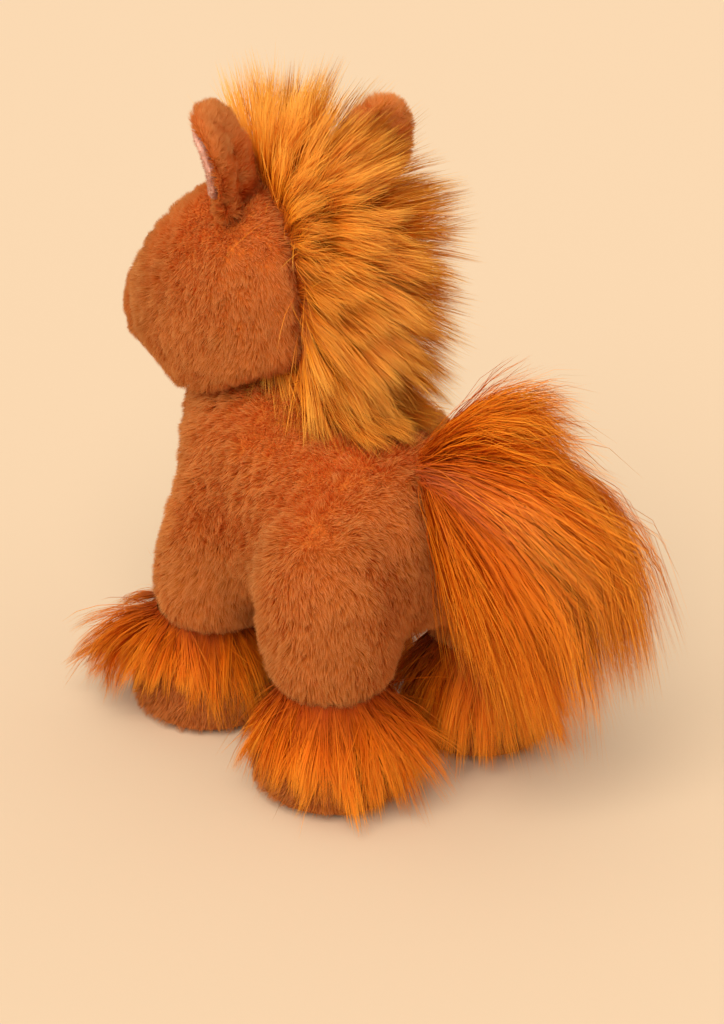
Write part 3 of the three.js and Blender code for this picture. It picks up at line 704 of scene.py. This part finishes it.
# Eyes. Domed black plastic eyes on ribbed shanks that go through the cloth, each held by a soft
# nylon washer pushed up its shank inside the head.
EYE_RADIUS, EYE_DOME, EYE_PROUD, EYE_EDGE = 0.0056, 0.0046, 0.0020, 0.0008
eye_black, eye_look, _, _ = new_finish("eye_black", 0.10, 0.28)
eye_look.inputs["Base Color"].default_value = (0.006, 0.004, 0.003, 1)
washer_nylon, nylon_look, _, _ = new_finish("washer_nylon", 0.42)
nylon_look.inputs["Base Color"].default_value = (0.86, 0.84, 0.78, 1)
nylon_look.inputs["Subsurface Weight"].default_value = 0.15
nylon_look.inputs["Subsurface Radius"].default_value = (0.002, 0.002, 0.0018)


def turned(name, outline, to_place, finish):
    """A round piece turned from its outline, given as (radius, height) from its foot to its top."""
    lathe = bmesh.new()
    rim = [lathe.verts.new((radius, 0, height)) for radius, height in outline]
    line = [lathe.edges.new((a, b)) for a, b in zip(rim, rim[1:])]
    bmesh.ops.spin(
        lathe, geom=rim + line, cent=(0, 0, 0), axis=(0, 0, 1), angle=2 * math.pi, steps=40, use_merge=True)
    bmesh.ops.remove_doubles(lathe, verts=lathe.verts, dist=1e-6)
    bmesh.ops.recalc_face_normals(lathe, faces=lathe.faces)
    bmesh.ops.transform(lathe, matrix=to_place, verts=lathe.verts)
    for face in lathe.faces:
        face.smooth = True
    return made(name, lathe, finish)


head_surface = surface_of(head)
dome_turns = [math.radians(a) for a in (0, 14, 28, 42, 56, 70, 80, 90)]
eye_outline = [(0, -EYE_EDGE), (EYE_RADIUS - EYE_EDGE, -EYE_EDGE), (EYE_RADIUS - EYE_EDGE / 4, -EYE_EDGE / 2)]
eye_outline += [(EYE_RADIUS * math.cos(a), EYE_DOME * math.sin(a)) for a in dome_turns]
eye_outline[-1] = (0, EYE_DOME)
for side in SIDES:
    low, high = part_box("eye_" + side)
    seat, outward, _, _ = head_surface.find_nearest((low + high) / 2)
    to_seat = Matrix.Translation(seat + outward * EYE_PROUD) @ outward.to_track_quat("Z", "Y").to_matrix().to_4x4()
    eye = turned("eye_dome_" + side, eye_outline, to_seat, eye_black)
    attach(eye, "head")
    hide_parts("eye_" + side)
    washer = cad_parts["eye_washer_" + side]
    washer.data.materials.clear()
    washer.data.materials.append(washer_nylon)

# Nostrils and mouth. Satin stitch and back stitch in thick dark thread, sewn through the muzzle's
# cloth, with its pile clipped short round the stitches.
NOSTRIL_STRANDS, NOSTRIL_THICK, NOSTRIL_RISE, NOSTRIL_DIP = 9, 0.001125, 0.0018, 0.0014
MOUTH_STITCHES, MOUTH_THICK, MOUTH_RISE = 11, 0.0015, (0.0004, 0.0014, 0.0014, 0.0004)
stitch_thread = knit_finish("stitch_thread", (0.085, 0.022, 0.008), 1500)
muzzle_surface = surface_of(muzzle)


def on_muzzle(spot, raised):
    """The place on the muzzle's front before a spot, raised off its ground."""
    place, facing, _, _ = muzzle_surface.ray_cast(Vector((spot.x, -0.2, spot.z)), Vector((0, 1, 0)))
    return place + facing * raised


for side in SIDES:
    low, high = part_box("nostril_" + side)
    middle, across, up = (low + high) / 2, (high.x - low.x) / 2, (high.z - low.z) / 2
    stitches = bmesh.new()
    for k in range(NOSTRIL_STRANDS):
        place = (k + 0.5) / NOSTRIL_STRANDS * 2 - 1
        half = across * math.sqrt(1 - place * place * 0.9)
        spots = []
        for step in (-1, -0.6, 0, 0.6, 1):
            raised = NOSTRIL_RISE - NOSTRIL_DIP * step * step
            spots.append(on_muzzle(middle + Vector((half * step, 0, up * place)), raised))
        strand(stitches, spots, NOSTRIL_THICK)
    sewn_thread("nostril_stitches_" + side, stitches, stitch_thread, "head", "nostril_" + side)
mouth_spots = corners_of(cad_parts["mouth_stitch"])
mouth_low, mouth_high = mouth_spots.min(0), mouth_spots.max(0)
mouth_curve = np.polynomial.Polynomial.fit(np.abs(mouth_spots[:, 0]), mouth_spots[:, 2], 3)
across = np.linspace(mouth_low[0] + 0.001, mouth_high[0] - 0.001, MOUTH_STITCHES * 3 + 1)
line = list(zip(across, mouth_curve(np.abs(across))))
stitches = bmesh.new()
for k in range(MOUTH_STITCHES):
    spots = [on_muzzle(Vector((x, 0, z)), raised) for (x, z), raised in zip(line[3 * k:], MOUTH_RISE)]
    strand(stitches, spots, MOUTH_THICK, sides=8)
sewn_thread("mouth_stitching", stitches, stitch_thread, "head", "mouth_stitch")

# Ears. Each is a leaf of plush folded on itself and lined with pale short velboa, sewn to the
# crown by its foot with a tuck up its back; its outer edge curls back and shows the lining.
EAR_FIBRES, EAR_PILE, LINING_FIBRES, LINING_PILE, LINING_EDGE = 60000, 0.0056, 16000, 0.0016, 0.0022
EAR_CURL_RADIUS = 0.0065
EAR_TUCK_DEEP, EAR_TUCK_WIDE = 0.0042, 0.0030
# The first of the lining colours, for the roots, is painted shade deep in the pile.
LINING_ROOT_SHADE, LINING_MID, LINING_LIGHT = (0.95, 0.46, 0.31), (1.0, 0.68, 0.53), (1.0, 0.84, 0.73)
lining_pile = fibre_finish("lining_pile", LINING_ROOT_SHADE, LINING_MID, LINING_LIGHT, (1, 0.92, 0.9), 0.9, 0.15, 0.3)
lining_ground = knit_finish("lining_ground", (0.95, 0.56, 0.42), 1200)


def own_axes(points, outward):
    """An ear's own middle, and its directions up, out to its edge and forward."""
    middle = points.mean(0)
    _, _, (up, across, through) = np.linalg.svd(points - middle, full_matrices=False)
    up, across, through = up * np.sign(up[2]), across * np.sign(across[0] * outward), through * -np.sign(through[1])
    return middle, np.stack([up, across, through], 1)


def folded(piece, middle, axes):
    """The leaf with its tuck pressed in low on its back, a broader foot, and its outer edge curled back."""
    at = (corners_of(piece) - middle) @ axes
    low_share = np.clip((0.006 - at[:, 0]) / 0.018, 0, 1)
    at[:, 1] = np.where(at[:, 1] < 0, at[:, 1] * (1 + 0.45 * low_share), at[:, 1])
    back = np.clip(-at[:, 2] / 0.004 + 0.5, 0, 1)
    tuck = np.exp(-(at[:, 1] / EAR_TUCK_WIDE) ** 2) * np.clip((0.014 - at[:, 0]) / 0.012, 0, 1)
    at[:, 2] += EAR_TUCK_DEEP * tuck * back
    past = np.maximum(at[:, 1], 0) / EAR_CURL_RADIUS
    arm = EAR_CURL_RADIUS + at[:, 2]
    curled = np.stack([at[:, 0], arm * np.sin(past), arm * np.cos(past) - EAR_CURL_RADIUS], 1)
    at = np.where(past[:, None] > 0, curled, at)
    piece.data.vertices.foreach_set("co", (at @ axes.T + middle).ravel())
    piece.data.update()


for side, way in SIDES.items():
    ear_body = "ear_" + side
    ear = cloth_form(ear_body, ["ear_cover_" + side], ear_body, plush_ground, 0.0008, 8, 0.0011)
    inner = cloth_form(
        "ear_inside_" + side, ["ear_lining_" + side], ear_body, lining_ground, 0.0002, 4, 0.0008)
    middle, axes = own_axes(corners_of(ear), way)
    folded(ear, middle, axes)
    folded(inner, middle, axes)
    inner_surface = surface_of(inner)
    roots, facing = rooted(ear, EAR_FIBRES, np.random.default_rng(45))
    keep = np.array([inner_surface.find_nearest(p, LINING_EDGE)[0] is None for p in roots])
    roots, facing = roots[keep], facing[keep]
    spread = ((roots - middle) @ axes)[:, 1:2] / 0.012 * axes[:, 1]
    nap = unit(axes[:, 0] * 0.9 + spread * 0.6 + np.array([0, 0.1, 0]))
    short_pile(
        "ear_pile_" + side, roots, facing, EAR_PILE, nap, plush_pile, ear_body, 46, thick=0.00032, tuft=18,
        gather=0.34, lift=0.55)
    roots, facing = rooted(inner, LINING_FIBRES, np.random.default_rng(47))
    short_pile(
        "ear_lining_pile_" + side, roots, facing, LINING_PILE, (0, 0, 1), lining_pile, ear_body, 48,
        thick=0.0003)

# Mane. Long silky pile on a strip of its own cloth, sewn over the crown and down the nape,
# and on the neck behind it. Its hair stands in pointed locks, darkest where it is rooted: that darkness
# is painted shade of the crease along its seam and of the depth of the hair.
# The first of the silk colours, for the roots, is painted shade: of the crease at the mane's seam, of the depth of
# the hair, and under the feathers' cuffs.
SILK_ROOT_SHADE, SILK_MID, SILK_TIP = (0.52, 0.085, 0.004), (1.0, 0.360, 0.012), (1.0, 0.54, 0.085)
SILK_DARK, SILK_ROUGH, SILK_GLOSS, SILK_THROUGH = (0.78, 0.44, 0.20), 0.42, 0.16, 0.24
MANE_HAIRS, NECK_MANE_HAIRS, LOCK_STEPS = 28000, 10000, 5
NECK_MANE_HALF, NECK_MANE_FRONT, NECK_MANE_BACK = 0.013, -0.022, 0.010
silk = fibre_finish("silk_pile", SILK_ROOT_SHADE, SILK_MID, SILK_TIP, SILK_DARK, SILK_ROUGH, SILK_GLOSS, SILK_THROUGH)


def grown(roots, start, comb, length, steps, turn, sag):
    """Lines of hairs that leave the cloth along start, bend to comb and sag towards their tips."""
    paths = np.empty((len(roots), steps, 3))
    paths[:, 0] = roots
    way = unit(start)
    reach = length[:, None] / (steps - 1)
    for k in range(1, steps):
        share = k / (steps - 1)
        way = unit(way + comb * turn + np.array([0, 0, -sag * share]))
        paths[:, k] = paths[:, k - 1] + way * reach
    return paths


def kept_off(paths, cloths, gap):
    """Hairs lifted out of the forms that they would run into."""
    flat = paths[:, 1:].reshape(-1, 3)
    for cloth in cloths:
        tree = surface_of(cloth)
        for i, p in enumerate(flat):
            spot, facing, _, away = tree.find_nearest(p)
            if away < 0.03 and (Vector(p) - spot).dot(facing) < gap:
                flat[i] = spot + facing * gap
    paths[:, 1:] = flat.reshape(len(paths), -1, 3)
    return paths


def locks(name, roots, start, comb, length, finish, body, seed, facing, sag, wild, split, tone, per_lock=60,
          turn=0.35, hold=0.66, loose=0.07, clear=(), floor=None, ragged=0.22, widest=1):
    """Long pile: hairs from roots, gathered lock by lock towards their tips, with a few loose ones. Clear are the
    forms that it keeps off, floor the height that it stays above, widest how far out it may reach."""
    steps = LOCK_STEPS
    rng = np.random.default_rng(seed)
    count = len(roots)
    chosen = rng.choice(count, max(2, count // per_lock), replace=False)
    lock_of = nearest(roots, roots[chosen])
    stray = split * rng.normal(size=(len(chosen), 3))
    lock_length = length[chosen] * (1.08 - ragged * rng.random(len(chosen)))
    guides = grown(
        roots[chosen], unit(start[chosen]) + stray * 0.7, comb[chosen] + stray, lock_length, steps, turn, sag)
    curl = rng.normal(size=(len(chosen), 1, 3)) * 0.0013
    bend = np.sin(np.linspace(0, math.pi * 1.3, steps))[None, :, None]
    guides = guides + curl * bend
    own_length = lock_length[lock_of] * (0.70 + 0.34 * rng.random(count))
    free = rng.random(count) < loose
    own = rng.normal(size=(count, 3)) * np.where(free, 0.30, wild)[:, None]
    paths = grown(roots, unit(start) + own + stray[lock_of] * 0.7, comb + own + stray[lock_of],
                  own_length, steps, turn, sag)
    share = np.linspace(0, 1, steps)
    at = share[None, :] * np.clip(own_length / lock_length[lock_of], 0, 1)[:, None] * (steps - 1)
    low = np.minimum(at.astype(int), steps - 2)
    part = (at - low)[:, :, None]
    line = guides[lock_of[:, None], low] * (1 - part) + guides[lock_of[:, None], low + 1] * part
    pull = hold * share[None, :, None] ** 1.1 * (0.55 + 0.45 * rng.random((count, 1, 1)))
    pull = np.where(free[:, None, None], 0.1 * pull, pull)
    paths = paths + (line - paths) * pull
    if clear:
        paths = kept_off(paths, clear, 0.002)
    if floor is not None:
        paths[:, :, 2] = np.maximum(paths[:, :, 2], floor + 0.003 * rng.random((count, 1)))
    over = np.maximum(np.abs(paths[:, :, 0]) - widest + 0.012, 0)
    paths[:, :, 0] -= np.sign(paths[:, :, 0]) * (over - 0.012 * np.tanh(over / 0.012))
    shade = tone + 0.18 * rng.normal(size=len(chosen))[lock_of] + 0.22 * rng.normal(size=count)
    thick = 0.00028 * (0.7 + 0.6 * rng.random(count))
    return spun(name, paths, unit(facing), thick, shade, finish, body)


def comb_of_mane(roots):
    """Up at the crown, back at the nape, and down at the neck, a little outwards at either side."""
    turn = round_crown(roots)
    rise = np.interp(turn, [76, 100, 130, 165, 200, 235], [1.0, 0.85, 0.45, 0.06, -0.34, -0.62])
    back = np.interp(turn, [76, 100, 130, 165, 200, 235], [-0.02, 0.36, 0.85, 1.0, 0.85, 0.7])
    right_ear = np.interp(turn, [85, 100, 140, 165], [0, 0.24, 0.24, 0]) * (roots[:, 0] < -0.002)
    out = np.clip(roots[:, 0] / 0.020, -1, 1) * (0.16 + right_ear)
    return unit(np.stack([out, back, rise], 1))


def outer_side(roots, wide):
    """The way that the hair of a mane shows: out at its flanks and away from the skull in its middle."""
    away = unit((roots - np.array(SKULL)) * np.array([0, 1, 1]))
    flank = np.clip(roots[:, :1] / wide, -1, 1) * np.array([1.3, 0, 0])
    return unit(flank + away * 0.7 + np.array([0.40, 0.20, 0.50]))


rng = np.random.default_rng(50)
roots, facing = rooted(head, 210000, rng)
keep = under_mane(roots)
roots, facing = roots[keep][:MANE_HAIRS], facing[keep][:MANE_HAIRS]
turn = round_crown(roots)
length = np.interp(turn, [76, 100, 140, 180, 235], [0.051, 0.051, 0.048, 0.046, 0.050])
comb = comb_of_mane(roots)
mane_on_head = locks(
    "mane_on_head", roots, facing * 0.6 + comb * 0.7, comb, length, silk, "head", 51, outer_side(roots, 0.014),
    clear=(head, body), sag=0.10, wild=0.07, hold=0.58, split=0.15, tone=0.70)
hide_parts("mane_head")

rng = np.random.default_rng(52)
roots, facing = rooted(body, 400000, rng)
rise = (roots - np.array(DOME)) @ np.array(UP_NECK)
keep = (np.abs(roots[:, 0]) < NECK_MANE_HALF) & (rise < 0.010) & (facing[:, 2] > 0.2)
keep &= (roots[:, 1] > NECK_MANE_FRONT) & (roots[:, 1] < NECK_MANE_BACK)
roots, facing = roots[keep][:NECK_MANE_HAIRS], facing[keep][:NECK_MANE_HAIRS]
out = np.clip(roots[:, 0] / NECK_MANE_HALF, -1, 1) * 0.12
comb = unit(np.stack([out, np.full(len(roots), 0.95), np.full(len(roots), -0.22)], 1))
length = np.interp(roots[:, 1], [NECK_MANE_FRONT, NECK_MANE_BACK], [0.044, 0.034])
mane_on_neck = locks(
    "mane_on_neck", roots, facing * 0.7 + comb * 0.6, comb, length, silk, "torso", 53, outer_side(roots, 0.010),
    clear=(body,), sag=0.10, wild=0.07, hold=0.58, split=0.12, tone=0.66)
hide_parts("mane_neck")

# Tail. The same silky pile on a short soft strip, bound round its root with thread. Its hair streams
# back from there in a broad uneven plume: a few locks curl over the top, the rest arch and fall.
TAIL_HAIRS, HAIRS_A_LOCK, TAIL_STEPS = 21500, 55, 6
TAIL_REACH, TAIL_SOFT_END = 0.145, 0.005
TAIL_OFF_BODY, TAIL_OFF_FLOOR = 0.003, 0.006
WRAPS, WRAP_THICK, ROOT_WAY = 9, 0.0014, Vector((0, 0.743, 0.669))
DEEP_MID, DEEP_TIP = (1.0, 0.28, 0.008), (1.0, 0.42, 0.035)
# Its root colour, as on the mane, is painted shade deep in the hair and under the feathers' cuffs.
deep_silk = fibre_finish(
    "deep_silk_pile", SILK_ROOT_SHADE, DEEP_MID, DEEP_TIP, SILK_DARK, SILK_ROUGH, SILK_GLOSS, SILK_THROUGH)
TAIL_STREAMS = (
    # from root to tips: across, behind the middle, height and half spread, in millimetres
    ((4, 56, 132, 6), (8, 66, 119, 8), (8, 81, 99, 9), (6, 93, 80, 8), (4, 100, 64, 6)),
    ((5, 56, 134, 7), (8, 70, 126, 10), (6, 88, 105, 13), (-1, 103, 76, 14), (-10, 111, 36, 12)),
    ((6, 55, 136, 8), (6, 73, 135, 12), (1, 95, 122, 16), (-9, 113, 94, 17), (-18, 121, 44, 14)),
    ((6, 54, 138, 8), (2, 75, 142, 12), (-11, 102, 137, 16), (-31, 125, 112, 13), (-40, 131, 58, 12)),
    ((6, 53, 140, 7), (0, 72, 147, 9), (-11, 94, 147, 12), (-24, 112, 133, 11), (-37, 127, 96, 11)),
    ((5, 52, 142, 6), (1, 62, 153, 6), (-8, 74, 162, 7), (-18, 87, 163, 7), (-28, 98, 152, 8)),
)
STREAM_RISE = (0, 0.14, 0.40, 0.72, 0.92, 1)


def tail_stream(aside, rise, along):
    """A place in the plume: aside from -1 to 1, rise from its underside at 0 to its top at 1, along from 0 to 1."""
    table = np.array(TAIL_STREAMS, float) / 1000
    row = np.interp(rise, STREAM_RISE, range(len(TAIL_STREAMS)))
    low = np.minimum(row.astype(int), len(TAIL_STREAMS) - 2)
    up = (row - low)[..., None]
    step = np.clip(along, 0, 1) * 4
    first = np.minimum(step.astype(int), 3)
    part = (step - first)[..., None]
    part = part * 0.5 + part * part * (3 - 2 * part) * 0.5

    def at(r):
        return table[r, first] * (1 - part) + table[r, first + 1] * part

    spot = at(low) * (1 - up) + at(low + 1) * up
    return spot[..., :3] + (aside * spot[..., 3])[..., None] * np.array([0.80, 0.60, 0])


rng = np.random.default_rng(60)
lock_count = TAIL_HAIRS // HAIRS_A_LOCK
lock_aside = np.sin(math.pi * (rng.random(lock_count) - 0.5))
lock_rise = rng.random(lock_count)
lock_rise = np.where(lock_rise > 0.92, 0.99, lock_rise)
lock_end = 1.06 - 0.34 * rng.random(lock_count) ** 1.4
lock_bend = rng.normal(size=(lock_count, 3)) * np.array([0.007, 0.005, 0.006])
lock_falls = np.where((lock_rise < 0.5) & (rng.random(lock_count) < 0.11), 0.3 + 0.7 * rng.random(lock_count), 0)
lock_wave = rng.random((lock_count, 1)) * 2 * math.pi
lock_of = rng.integers(0, lock_count, TAIL_HAIRS)
near = rng.normal(size=(TAIL_HAIRS, 2)) * np.array([0.20, 0.036])
free = rng.random(TAIL_HAIRS) < 0.08
near[free] *= 2.0
first = 0.40 * rng.random(TAIL_HAIRS) ** 1.7
last = lock_end[lock_of] * (0.76 + 0.24 * rng.random(TAIL_HAIRS) ** 0.6)
share = np.linspace(0, 1, TAIL_STEPS)[None, :]
along = first[:, None] + (last - first)[:, None] * share
spread = np.where(free[:, None], 1.0, 1 - 0.72 * share)
aside = lock_aside[lock_of][:, None] + near[:, :1] * spread
rise = np.clip(lock_rise[lock_of][:, None] + near[:, 1:] * spread, 0, 1)
paths = tail_stream(np.clip(aside, -1.2, 1.2), rise, along)
paths += lock_bend[lock_of][:, None, :] * (share ** 1.5)[..., None]
over_rump = lock_falls[lock_of][:, None] * np.sin(np.clip(along, 0, 1) * 2.3)
paths += over_rump[..., None] * np.array([0.013, -0.011, 0.002])
paths += (0.0022 * share * np.sin(7 * along + lock_wave[lock_of]))[..., None] * np.array([-0.5, 0.4, 0.7])
paths += rng.normal(size=(TAIL_HAIRS, 1, 3)) * 0.0014
paths += rng.normal(size=(TAIL_HAIRS, 1, 3)) * 0.0030 * share[..., None]
paths = kept_off(paths, (body,), TAIL_OFF_BODY)
paths[:, :, 2] = np.maximum(paths[:, :, 2], TAIL_OFF_FLOOR)
over = np.maximum(paths[:, :, 1] - TAIL_REACH, 0)
paths[:, :, 1] -= over - TAIL_SOFT_END * np.tanh(over / TAIL_SOFT_END)
facing = unit(paths[:, 3] - tail_stream(np.zeros(TAIL_HAIRS), np.full(TAIL_HAIRS, 0.45), along[:, 3]))
facing = unit(facing + np.array([0.24, 0.12, 0.36]))
shade = 0.48 + 0.26 * rng.normal(size=lock_count)[lock_of] + 0.22 * rng.normal(size=TAIL_HAIRS)
thick = 0.00030 * (0.7 + 0.6 * rng.random(TAIL_HAIRS))
tail_hair = spun("tail_hair", paths, facing, thick, shade, deep_silk, "tail")
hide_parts("tail_pile")

low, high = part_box("tail_root")
root_middle, root_radius = (low + high) / 2, (high.x - low.x) / 2 - WRAP_THICK / 2
binding = bmesh.new()
for k in range(WRAPS):
    tilt = math.radians(180 * (k + 0.5) / WRAPS)
    out, rise = root_radius * math.sin(tilt), root_radius * math.cos(tilt)
    turns = [2 * math.pi * i / 28 for i in range(28)]
    strand(binding, [Vector((out * math.cos(t), out * math.sin(t), rise)) for t in turns], WRAP_THICK, closed=True)
along_root = Matrix.Translation(root_middle) @ ROOT_WAY.to_track_quat("Z", "Y").to_matrix().to_4x4()
bmesh.ops.transform(binding, matrix=along_root, verts=binding.verts)
sewn_thread("tail_binding", binding, seam_thread, "tail_root", "tail_root")

# Feathers. A skirt of the same silky pile round each ankle, sewn into the ankle seam
# and hanging over the foot to the floor. The front ones are brushed out ahead.
FEATHER_HAIRS, FEATHER_LOW, FEATHER_HIGH, FEATHER_WIDEST = 12000, 0.034, 0.0475, 0.0835
for number, (end, side) in enumerate(corners):
    name = end + "_" + side
    low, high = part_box("sole_" + name)
    middle = (low + high) / 2
    way = SIDES[side]
    ankle = np.array([middle.x, middle.y + (0.003 if end == "hind" else 0), 0])
    rng = np.random.default_rng(70 + number)
    turn = rng.random(FEATHER_HAIRS) * 2 * math.pi
    ring = np.stack([np.cos(turn), np.sin(turn), np.zeros(FEATHER_HAIRS)], 1)
    height = FEATHER_LOW + (FEATHER_HIGH - FEATHER_LOW) * rng.random(FEATHER_HAIRS) ** 0.7
    wide = np.interp(height, [FEATHER_LOW, FEATHER_HIGH], [0.0245, 0.0195])
    roots = ankle + ring * wide[:, None]
    roots[:, 2] = height
    if end == "front":
        blown = np.clip(ring @ np.array([0.84 * way, -0.54, 0]), 0, 1) ** 2
    else:
        blown = 0.25 * np.clip(ring @ np.array([-0.3 * way, 0.95, 0]), 0, 1) ** 2
    start = ring * (0.42 + 0.83 * blown[:, None]) + np.array([0, 0, -0.75]) * (1 - 0.6 * blown[:, None])
    comb = ring * (0.11 + 0.56 * blown[:, None]) + np.array([0, 0, -0.97]) * (1 - 0.3 * blown[:, None])
    parted = np.clip((ring @ np.array([0.965 * way, 0.26, 0]) - 0.78) / 0.16, 0, 1)
    length = np.interp(height, [FEATHER_LOW, FEATHER_HIGH], [0.034, 0.053]) * (0.86 + 0.2 * rng.random(FEATHER_HAIRS))
    length *= 1 - (0.36 if end == "front" else 0.20) * parted
    feather = locks(
        "feather_hair_" + name, roots, start, comb, length * (1 + 0.12 * blown), deep_silk, "torso", 80,
        ring + np.array([0, 0, 0.12]), turn=0.40, sag=0.25, floor=0.0006, per_lock=45, split=0.21, wild=0.08,
        loose=0.06, ragged=0.44, widest=FEATHER_WIDEST, tone=0.45)
    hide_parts("feather_" + name)
